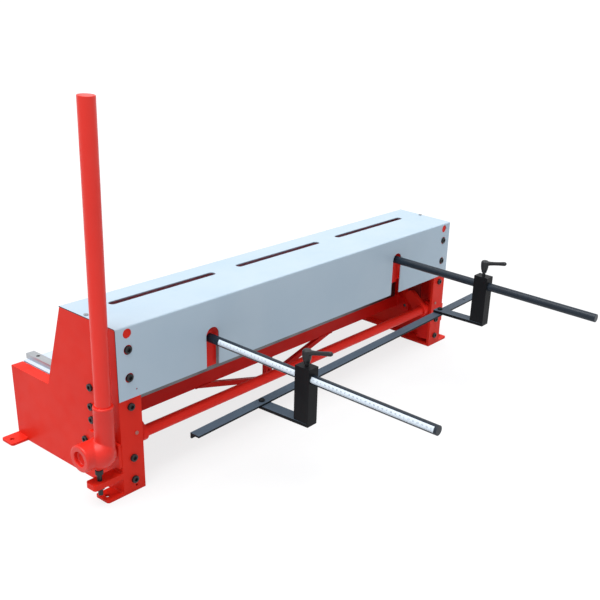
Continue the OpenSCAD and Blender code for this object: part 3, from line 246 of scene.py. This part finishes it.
# Guides and bearings. Iron blocks bolted into the corners of the side frames, and outside
# them two rectangular plates that hold the bushes of the lever shaft. All frame red.
for node in ("guide_block_near", "guide_block_far", "bearing_block_near", "bearing_block_far"):
    eased(node, 1.0, bed_coat)
RUNNING_FIT = 1.032
for side, mark in ((1, "near"), (-1, "far")):
    bpy.ops.object.select_all(action="DESELECT")
    bpy.ops.mesh.primitive_cube_add(size=1, location=(side * 578.5 * MM, REAR - 48.5 * MM,
                                                      94 * MM))
    block = bpy.context.object
    block.scale = (7 * MM, 95 * MM, 54 * MM)
    bpy.ops.object.transform_apply(location=True, rotation=False, scale=True)
    bore = welded_copy("torsion_shaft")
    low = Vector([min(point.co[i] for point in bore.data.vertices) for i in range(3)])
    high = Vector([max(point.co[i] for point in bore.data.vertices) for i in range(3)])
    axis = (low + high) / 2
    wider = Matrix.Diagonal((1.0, RUNNING_FIT, RUNNING_FIT, 1.0))
    bore.data.transform(Matrix.Translation(axis) @ wider @ Matrix.Translation(-axis))
    finished(block, "BOOLEAN", operation="DIFFERENCE", object=bore)
    bpy.data.objects.remove(bore)
    rounded(block, 1.2, 3)
    block.name = "bearing_plate_" + mark
    stands_for(block, "bush_" + mark, red_coat)


# Table and squaring bar. The table is a painted plate, the squaring bar on its lever side
# is a ground steel bar held by three countersunk screws.
def ground_steel(name, colour, dark, rough=0.35, metal=0.9, stretch=(1.0, 60.0, 60.0),
                 bump=0.12):
    made, tree, skin = new_finish(name)
    link = tree.links.new
    place = tree.nodes.new("ShaderNodeTexCoord")
    turn = tree.nodes.new("ShaderNodeMapping")
    turn.inputs["Scale"].default_value = stretch
    lines = noise(tree, 14.0, 5.0)
    stain = noise(tree, 18.0, 6.0)
    mixed = worked_out(tree, "MULTIPLY")
    more = stretched(tree, 0.12, 0.42)
    tone = two_tone(tree, colour, dark)
    rise = relief(tree, bump, 0.2)
    sheen = stretched(tree, 0.0, 1.0, rough - 0.08, rough + 0.12)
    link(place.outputs["Object"], turn.inputs["Vector"])
    link(place.outputs["Object"], stain.inputs["Vector"])
    link(turn.outputs["Vector"], lines.inputs["Vector"])
    link(lines.outputs["Fac"], mixed.inputs[0])
    link(stain.outputs["Fac"], mixed.inputs[1])
    link(mixed.outputs["Value"], more.inputs["Value"])
    link(more.outputs["Result"], tone.inputs[0])
    link(tone.outputs[2], skin.inputs["Base Color"])
    link(stain.outputs["Fac"], sheen.inputs["Value"])
    link(sheen.outputs["Result"], skin.inputs["Roughness"])
    link(lines.outputs["Fac"], rise.inputs["Height"])
    link(rise.outputs["Normal"], skin.inputs["Normal"])
    skin.inputs["Metallic"].default_value = metal
    return made


table_coat = powder_coat("table_grey_coat", (0.6, 0.67, 0.77), (0.55, 0.62, 0.73))
eased("table_plate", 0.8, table_coat)
bright_steel = ground_steel("bright_steel", (0.52, 0.54, 0.57), (0.36, 0.38, 0.4),
                            stretch=(60.0, 1.0, 60.0))
eased("squaring_bar", 0.6, bright_steel)

# Blades. Two bars of hardened tool steel, ground on all faces and oiled, each held by
# countersunk screws with black oxide.
blade_steel = ground_steel("blade_steel", (0.2, 0.2, 0.21), (0.1, 0.1, 0.11))
eased("lower_blade", 0.25, blade_steel, 1)
eased("upper_blade", 0.25, blade_steel, 1)
black_oxide = ground_steel("black_oxide", (0.014, 0.015, 0.017), (0.008, 0.009, 0.01), 0.38, 0.2,
                           (1.0, 1.0, 1.0))
for node in ("squaring_bar_screws", "lower_blade_screws", "upper_blade_screws"):
    eased(node, 0.2, black_oxide, 1)

# Blade beam. Welded plate beam that slides up and down behind the cover. Its top faces
# are dark grey steel, darkened as painted shade under the cover, the brackets that carry the gauge
# rods are red.
def partly(piece, material, wanted):
    piece.data.materials.append(material)
    for face in piece.data.polygons:
        if wanted(face):
            face.material_index = 1


beam_coat = powder_coat("red_beam_coat", (0.82, 0.02, 0.012), (0.72, 0.016, 0.01))
beam = eased("blade_beam", 0.8, beam_coat)
# Dark grey on the beam's top faces is painted shade where they lie under the cover.
beam_top_painted_shade = ground_steel("beam_top_painted_shade_steel", (0.19, 0.18, 0.21), (0.09, 0.085, 0.1), 0.45, 0.7)
partly(beam, beam_top_painted_shade, lambda face: face.normal.z > 0.9 and face.center.z > 360 * MM)
eased("rod_nuts", 0.5, bright_steel)
eased("link_top_pins", 0.6, bright_steel)

# Cover. One folded sheet of 2 mm steel with round bends, slots over the cut and for the
# gauge rods, and holes over the flange bolts. Powder coated pale blue grey.
def nothing_picked(piece, kind):
    alone(piece)
    bpy.ops.object.mode_set(mode="EDIT")
    bpy.ops.mesh.select_mode(type=kind)
    bpy.ops.mesh.select_all(action="DESELECT")
    bpy.ops.object.mode_set(mode="OBJECT")


cover = welded_copy("cover")
bends = (((REAR + 2 * MM, 370 * MM), 3.2), ((14 * MM, 370 * MM), 3.2), ((REAR, 368 * MM), 1.2),
         ((16 * MM, 368 * MM), 1.2))
for (depth, height), radius in bends:
    nothing_picked(cover, "EDGE")
    points = cover.data.vertices
    for edge in cover.data.edges:
        ends = [points[i].co for i in edge.vertices]
        edge.select = all(abs(p.y - depth) < 0.1 * MM and abs(p.z - height) < 0.1 * MM for p in ends)
    bpy.ops.object.mode_set(mode="EDIT")
    bpy.ops.mesh.bevel(offset=radius * MM, segments=5, affect="EDGES")
    bpy.ops.object.mode_set(mode="OBJECT")
rounded(cover, 0.35, 2)
cover_coat = powder_coat("pale_grey_coat", (0.5, 0.605, 0.685), (0.46, 0.575, 0.665), 0.36,
                         0.08, 0.2)
stands_for(cover, "cover", cover_coat)
# The end faces of the sheet are coloured dark as a painted shadow line along the cover's sides.
cover_edge_painted_shadow = powder_coat("cover_edge_painted_shadow_coat", (0.1, 0.07, 0.075), (0.06, 0.045, 0.05), 0.6)
partly(cover, cover_edge_painted_shadow,
       lambda face: abs(face.normal.x) > 0.9 and abs(face.center.x) > 574 * MM)
zinc = ground_steel("zinc_screws", (0.42, 0.43, 0.46), (0.3, 0.31, 0.33), 0.38, 0.8,
                    (1.0, 1.0, 1.0))
eased("cover_screws", 0.3, zinc)


# Bolts. Black cap screws M10 with a knurled low head and a hexagon recess, five through
# each rear flange, four through each side plate, and the long stop screw of the lever.
def cap_head(radius, height, flats, depth, shank_radius, shank_length):
    bpy.ops.object.select_all(action="DESELECT")
    bpy.ops.mesh.primitive_cylinder_add(vertices=48, radius=radius * MM, depth=height * MM,
                                        location=(0, 0, height / 2 * MM))
    head = bpy.context.object
    bpy.ops.object.transform_apply(location=True, rotation=False, scale=False)
    nothing_picked(head, "FACE")
    min(head.data.polygons, key=lambda face: face.center.z).select = True
    bpy.ops.object.mode_set(mode="EDIT")
    bpy.ops.mesh.inset(thickness=(radius - shank_radius) * MM)
    bpy.ops.mesh.extrude_region_move(TRANSFORM_OT_translate={"value": (0, 0, -shank_length * MM)})
    nothing_picked(head, "EDGE")
    points = head.data.vertices
    for edge in head.data.edges:
        edge.select = all(points[i].co.z > (height - 0.01) * MM for i in edge.vertices)
    bpy.ops.object.mode_set(mode="EDIT")
    bpy.ops.mesh.bevel(offset=0.9 * MM, segments=3, affect="EDGES")
    nothing_picked(head, "FACE")
    knurl = [face for face in head.data.polygons
             if abs(face.normal.z) < 0.05 and 0.2 * height * MM < face.center.z < 0.7 * height * MM]
    knurl.sort(key=lambda face: math.atan2(face.center.y, face.center.x))
    for face in knurl[::2]:
        face.select = True
    bpy.ops.object.mode_set(mode="EDIT")
    bpy.ops.mesh.inset(thickness=0.12 * MM, depth=-0.22 * MM, use_individual=True)
    bpy.ops.object.mode_set(mode="OBJECT")
    bpy.ops.object.select_all(action="DESELECT")
    bpy.ops.mesh.primitive_cylinder_add(vertices=6, radius=flats / math.sqrt(3) * MM,
                                        depth=2 * depth * MM, location=(0, 0, height * MM))
    key = bpy.context.object
    finished(head, "BOOLEAN", operation="DIFFERENCE", object=key)
    bpy.data.objects.remove(key)
    rounded(head, 0.18, 1, 50)
    alone(head)
    bpy.ops.object.shade_smooth_by_angle(angle=math.radians(30))
    coated(head, black_oxide)
    return head


def set_in(model, name, at, facing, node):
    piece = model.copy()
    piece.data = model.data.copy()
    piece.name = name
    bpy.context.collection.objects.link(piece)
    turn = Vector(facing).to_track_quat("Z", "Y").to_matrix().to_4x4()
    piece.data.transform(Matrix.Translation(Vector(at) * MM) @ turn)
    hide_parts(node)
    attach(piece, nodes[node]["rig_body"])


HEAD_R = 8
HEX = 8
SHANK_R = 5
flange_head = cap_head(HEAD_R, 5, HEX, 3.5, SHANK_R, 34)
side_head = cap_head(HEAD_R, 4.5, HEX, 3.5, SHANK_R, 18)
flange_heights = (321.0, 260.99, 196.99, 80.0, 29.0)
side_places = ((-89.5, 218.48), (-91.52, 173.99), (-91.52, 144.0), (-119.49, 87.99))
for side, mark in ((1, "near"), (-1, "far")):
    for count, height in enumerate(flange_heights):
        set_in(flange_head, f"flange_bolt_{mark}_{count}", (side * 547.5, 189, height),
               (0, 1, 0), "flange_bolts")
    for count, (depth, height) in enumerate(side_places):
        set_in(side_head, f"side_bolt_{mark}_{count}", (side * 575, 189 + depth, height),
               (side, 0, 0), "side_bolts")
stop_head = cap_head(HEAD_R, 10, HEX, 5, SHANK_R, 48)
set_in(stop_head, "stop_screw_made", (622, 176, 69), (0, 0, 1), "stop_screw")
for model in (flange_head, side_head, stop_head):
    bpy.data.objects.remove(model)
eased("stop_nut", 0.5, black_oxide)
# The oil plugs are red paint lightened to a pink, a painted highlight.
oil_plug_painted_highlight_coat = powder_coat("oil_plug_red_painted_highlight", (0.5, 0.2, 0.17), (0.4, 0.14, 0.12), 0.35)
eased("oil_plugs", 0.5, oil_plug_painted_highlight_coat)

# Lever shaft. A round bar across the machine with two welded cranks, red, and the two
# forged links that it pulls down, their red darkened as painted shade under the cover.
shaft_coat = powder_coat("red_shaft_coat", (0.86, 0.026, 0.014), (0.78, 0.02, 0.011))
eased("torsion_shaft", 0.8, shaft_coat)
eased("crank_near", 1.2, shaft_coat, 3)
eased("crank_far", 1.2, shaft_coat, 3)
eased("shaft_collar", 0.6, shaft_coat)
# The links' dark brown red is painted shade for their place under the cover.
link_painted_shade_coat = powder_coat("link_red_painted_shade", (0.2, 0.012, 0.01), (0.14, 0.01, 0.008), 0.5)
eased("link_near", 0.8, link_painted_shade_coat)
eased("link_far", 0.8, link_painted_shade_coat)

# Lever. A cast hub with a round elbow and a socket, sand cast and coated red, with a steel
# tube welded into the socket and a plug in the tube's end.
lever_coat = powder_coat("lever_red_coat", (0.88, 0.03, 0.016), (0.82, 0.025, 0.013), 0.34,
                         0.08, 0.35)
cast_coat = powder_coat("cast_red_coat", (0.76, 0.024, 0.013), (0.68, 0.019, 0.01), 0.36, 0.4,
                        0.4)
ELBOW = (614 * MM, REAR - 16.2 * MM, 110.2 * MM)
SOCKET_MOUTH = (603 * MM, REAR - 11.9 * MM, 213.4 * MM)
SOCKET_LEAN = math.radians(-1.45)
hub = welded_copy("lever_hub")
bpy.ops.object.select_all(action="DESELECT")
bpy.ops.mesh.primitive_uv_sphere_add(segments=48, ring_count=24, radius=31.5 * MM,
                                     location=ELBOW)
ball = bpy.context.object
bpy.ops.object.transform_apply(location=True, rotation=False, scale=False)
finished(hub, "BOOLEAN", operation="UNION", object=ball)
bpy.data.objects.remove(ball)
finished(hub, "REMESH", mode="VOXEL", voxel_size=1.0 * MM)
finished(hub, "SMOOTH", factor=0.5, iterations=14)
stands_for(hub, "lever_hub", cast_coat)
alone(hub)
bpy.ops.object.shade_smooth()
eased("lever_tube", 0.5, lever_coat)
bpy.ops.object.select_all(action="DESELECT")
bpy.ops.mesh.primitive_torus_add(major_segments=64, minor_segments=12, major_radius=17.4 * MM,
                                 minor_radius=2.5 * MM)
ring = bpy.context.object
ring.name = "weld_socket_ring"
for point in ring.data.vertices:
    around = math.atan2(point.co.y, point.co.x)
    point.co.z *= 1.0 + 0.14 * math.sin(around * 31)
ring.data.transform(Matrix.Translation(SOCKET_MOUTH) @ Matrix.Rotation(SOCKET_LEAN, 4, "X"))
alone(ring)
bpy.ops.object.shade_smooth()
coated(ring, lever_coat)
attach(ring, "lever_shaft")
eased("lever_plug", 0.8, lever_coat)

# Gauge rods. Two steel bars blackened and oiled, turned ends with a chamfer. The lever
# side rod carries a white enamelled strip with a centimetre scale.
def blackened(name, colour, light, rough=0.34, stretch=(1.0, 1.0, 1.0), shine=0.5):
    made = ground_steel(name, colour, light, rough, 0.0, stretch, 0.08)
    made.node_tree.nodes["Principled BSDF"].inputs["Specular IOR Level"].default_value = shine
    return made


rod_black = blackened("blackened_rod", (0.016, 0.025, 0.037), (0.011, 0.017, 0.026), 0.3,
                      (60.0, 1.0, 60.0), 0.25)
eased("rod_near", 0.9, rod_black)
eased("rod_far", 0.9, rod_black)
strip_white = powder_coat("strip_enamel", (0.72, 0.8, 0.87), (0.67, 0.76, 0.84), 0.3, 0.02)
eased("scale_strip", 0.1, strip_white, 1)

ROD = Vector((329 * MM, 0, 279 * MM))
STRIP_TURN = math.radians(20)
STRIP_R = 9.93 * MM


def wrapped(piece, name, along):
    for point in piece.data.vertices:
        reach, round_, out = point.co
        angle = STRIP_TURN + round_ / STRIP_R
        radius = STRIP_R + out
        point.co = (ROD.x + radius * math.cos(angle), along + reach,
                    ROD.z + radius * math.sin(angle))
    piece.name = name
    coated(piece, scale_ink)
    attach(piece, "blade_slide")


scale_ink = powder_coat("scale_ink", (0.2, 0.22, 0.26), (0.15, 0.17, 0.2), 0.5, 0.02)
for name, length, pitch, low, count, first in (("ticks_mm", 1.4, 1, -4.6, 550, 30),
                                               ("ticks_half", 2.2, 5, -4.2, 110, 30),
                                               ("ticks_cm", 3.0, 10, -3.8, 55, 35)):
    bpy.ops.object.select_all(action="DESELECT")
    bpy.ops.mesh.primitive_cube_add(size=1, location=(0, 0, 0))
    tick = bpy.context.object
    tick.scale = (0.22 * MM, length * MM, 0.03 * MM)
    tick.location = (0, low * MM, 0)
    bpy.ops.object.transform_apply(location=True, rotation=False, scale=True)
    bpy.ops.object.mode_set(mode="EDIT")
    bpy.ops.mesh.select_all(action="SELECT")
    bpy.ops.mesh.bisect(plane_co=(0, low * MM, 0), plane_no=(0, 1, 0))
    bpy.ops.object.mode_set(mode="OBJECT")
    finished(tick, "ARRAY", count=count, use_relative_offset=False,
             use_constant_offset=True, constant_offset_displace=(pitch * MM, 0, 0))
    wrapped(tick, "scale_" + name, REAR + first * MM)
for mark in range(3, 58):
    bpy.ops.object.select_all(action="DESELECT")
    bpy.ops.object.text_add(location=(0, 0, 0))
    figure = bpy.context.object
    figure.data.body = str(mark)
    figure.data.size = 4.4 * MM
    figure.data.align_x = "CENTER"
    figure.data.extrude = 0.015 * MM
    figure.data.resolution_u = 2
    bpy.ops.object.convert(target="MESH")
    figure = bpy.context.object
    figure.data.transform(Matrix.Translation((0, -0.6 * MM, 0)))
    wrapped(figure, f"scale_figure_{mark}", REAR + (5 + 10 * mark) * MM)

# Back gauge. Two blocks that slide on the rods, two flat arms and an angle bar as the
# stop, welded and screwed together, all blackened.
gauge_black = blackened("blackened_gauge", (0.01, 0.0105, 0.012), (0.0065, 0.007, 0.0085), 0.4,
                        shine=0.09)
# Blue grey on the upward faces of the arms and the stop bar is a painted reflection of the sky;
# their other faces are black.
gauge_top_painted_reflection = blackened("flat_top_painted_sky_reflection", (0.056, 0.078, 0.105), (0.042, 0.057, 0.079), 0.42,
                       (1.0, 60.0, 60.0), 0.2)
for node, width in (("gauge_block_near", 0.9), ("gauge_block_far", 0.9),
                    ("stop_bar_screws", 0.25)):
    eased(node, width, gauge_black)
for node, width in (("gauge_arm_near", 0.5), ("gauge_arm_far", 0.5), ("stop_bar", 0.5)):
    flat = eased(node, width, gauge_top_painted_reflection)
    # Faces that do not face up go back to black, so only the upward faces carry the painted sky
    # reflection.
    partly(flat, gauge_black, lambda face: face.normal.z < 0.7)

# Clamping levers. Black glass filled plastic moulded on a threaded stud: a bottle shaped
# hub with a domed top and a round handle that swells toward its tip.
handle_plastic = powder_coat("moulded_black", (0.014, 0.015, 0.017), (0.01, 0.011, 0.013), 0.38,
                             0.25, 0.35)


def drawn_out(piece, rings):
    nothing_picked(piece, "FACE")
    max(piece.data.polygons, key=lambda face: face.center.z).select = True
    bpy.ops.object.mode_set(mode="EDIT")
    for rise, ratio in rings:
        bpy.ops.mesh.extrude_region_move(TRANSFORM_OT_translate={"value": (0, 0, rise * MM)})
        bpy.ops.transform.resize(value=(ratio, ratio, 1.0))
    bpy.ops.object.mode_set(mode="OBJECT")


def clamp_handle(name, seat, turn, node):
    bpy.ops.object.select_all(action="DESELECT")
    bpy.ops.mesh.primitive_cylinder_add(vertices=40, radius=6.5 * MM, depth=3 * MM,
                                        location=(0, 0, 1.5 * MM))
    hub = bpy.context.object
    bpy.ops.object.transform_apply(location=True, rotation=False, scale=False)
    drawn_out(hub, ((5, 1.28), (6, 1.13), (7, 1.06), (5, 0.985), (2.4, 0.9), (1.6, 0.82),
                    (0.8, 0.66)))
    bpy.ops.object.select_all(action="DESELECT")
    bpy.ops.mesh.primitive_cylinder_add(vertices=32, radius=6.2 * MM, depth=4 * MM,
                                        location=(0, 0, 2 * MM))
    grip = bpy.context.object
    bpy.ops.object.transform_apply(location=True, rotation=False, scale=False)
    drawn_out(grip, ((5, 0.94), (6, 0.86), (12, 0.9), (14, 1.0), (10, 1.1), (6, 1.03),
                     (2.5, 0.86), (1.7, 0.7), (0.7, 0.6)))
    lean = Matrix.Rotation(math.radians(-77), 4, "X")
    grip.data.transform(Matrix.Translation((0, 0, 23 * MM)) @ lean)
    finished(hub, "BOOLEAN", operation="UNION", object=grip)
    bpy.data.objects.remove(grip)
    finished(hub, "REMESH", mode="VOXEL", voxel_size=0.5 * MM)
    finished(hub, "SMOOTH", factor=0.5, iterations=8)
    hub.data.transform(Matrix.Translation(Vector(seat) * MM)
                       @ Matrix.Rotation(math.radians(turn), 4, "Z"))
    hub.name = name
    stands_for(hub, node, handle_plastic)
    alone(hub)
    bpy.ops.object.shade_smooth()


clamp_handle("clamp_handle_near", (329, 458, 308.5), 5, "clamp_lever_near")
clamp_handle("clamp_handle_far", (-329, 458, 344.5), -2, "clamp_lever_far")
eased("clamp_stud_near", 0.4, black_oxide)
eased("clamp_stud_far", 0.4, black_oxide)

# Studio. A plain white floor, a wide soft lamp high on the lever side, and a pale sky.
# Eyes and mirrors see both as white, and the floor keeps the shear's shadow.
def seen_directly(tree):
    sight = tree.nodes.new("ShaderNodeLightPath")
    shiny = worked_out(tree, "MAXIMUM")
    clear = worked_out(tree, "MAXIMUM")
    tree.links.new(sight.outputs["Is Camera Ray"], shiny.inputs[0])
    tree.links.new(sight.outputs["Is Glossy Ray"], shiny.inputs[1])
    tree.links.new(shiny.outputs["Value"], clear.inputs[0])
    tree.links.new(sight.outputs["Is Transmission Ray"], clear.inputs[1])
    return clear.outputs["Value"]


bpy.ops.object.select_all(action="DESELECT")
bpy.ops.mesh.primitive_plane_add(size=120.0, location=(0.0, 0.0, 0.0))
floor = bpy.context.object
floor.name = "studio_floor"
paper, tree, skin = new_finish("studio_paper")
skin.inputs["Roughness"].default_value = 0.9
skin.inputs["Specular IOR Level"].default_value = 0.0
seen = seen_directly(tree)
pale = two_tone(tree, (0.6, 0.6, 0.6), (0.95, 0.95, 0.95))
tree.links.new(seen, pale.inputs[0])
tree.links.new(pale.outputs[2], skin.inputs["Base Color"])
glow = tree.nodes.new("ShaderNodeEmission")
glow.inputs["Strength"].default_value = 1.0
share = worked_out(tree, "MULTIPLY")
share.inputs[1].default_value = 0.78
blend = tree.nodes.new("ShaderNodeMixShader")
tree.links.new(seen, share.inputs[0])
tree.links.new(share.outputs[0], blend.inputs[0])
tree.links.new(skin.outputs[0], blend.inputs[1])
tree.links.new(glow.outputs[0], blend.inputs[2])
tree.links.new(blend.outputs[0], tree.nodes["Material Output"].inputs["Surface"])
floor.data.materials.append(paper)

world = bpy.data.worlds.new("studio_world")
bpy.context.scene.world = world
world.use_nodes = True
tree = world.node_tree
sky = tree.nodes["Background"]
sky.inputs["Color"].default_value = (0.92, 0.97, 1.06, 1.0)
sky.inputs["Strength"].default_value = 0.5
white = tree.nodes.new("ShaderNodeBackground")
white.inputs["Color"].default_value = (1.0, 1.0, 1.0, 1.0)
white.inputs["Strength"].default_value = 1.0
swap = tree.nodes.new("ShaderNodeMixShader")
tree.links.new(seen_directly(tree), swap.inputs[0])
tree.links.new(sky.outputs[0], swap.inputs[1])
tree.links.new(white.outputs[0], swap.inputs[2])
tree.links.new(swap.outputs[0], tree.nodes["World Output"].inputs["Surface"])

lamp = bpy.data.lights.new("soft_lamp", "SUN")
lamp.energy = 3.2
lamp.angle = math.radians(50)
key = bpy.data.objects.new("soft_lamp", lamp)
bpy.context.collection.objects.link(key)
toward = Vector((0.22, -0.04, 0.97)).normalized()
key.location = toward * 4.0
key.rotation_euler = toward.to_track_quat("Z", "Y").to_euler()

# Camera. It stands behind the shear on the lever side, a little above it, with a 54 mm
# lens shifted to keep the photo's framing.
glass = bpy.data.cameras.new("photo_camera")
glass.lens = 54.08
glass.sensor_width = 36.0
glass.shift_x = -0.1474
glass.shift_y = 0.0930
glass.clip_end = 100.0
eye = bpy.data.objects.new("photo_camera", glass)
bpy.context.collection.objects.link(eye)
right = Vector((-0.60172, 0.79611, 0.06430))
up = Vector((-0.28851, -0.29172, 0.91195))
back = Vector((0.74477, 0.53019, 0.40523))
place = Matrix((right, up, back)).transposed().to_4x4()
place.translation = Vector((1.5456, 1.3300 + REAR, 1.0490))
eye.matrix_world = place
bpy.context.scene.camera = eye
bpy.context.scene.view_settings.view_transform = "Standard"
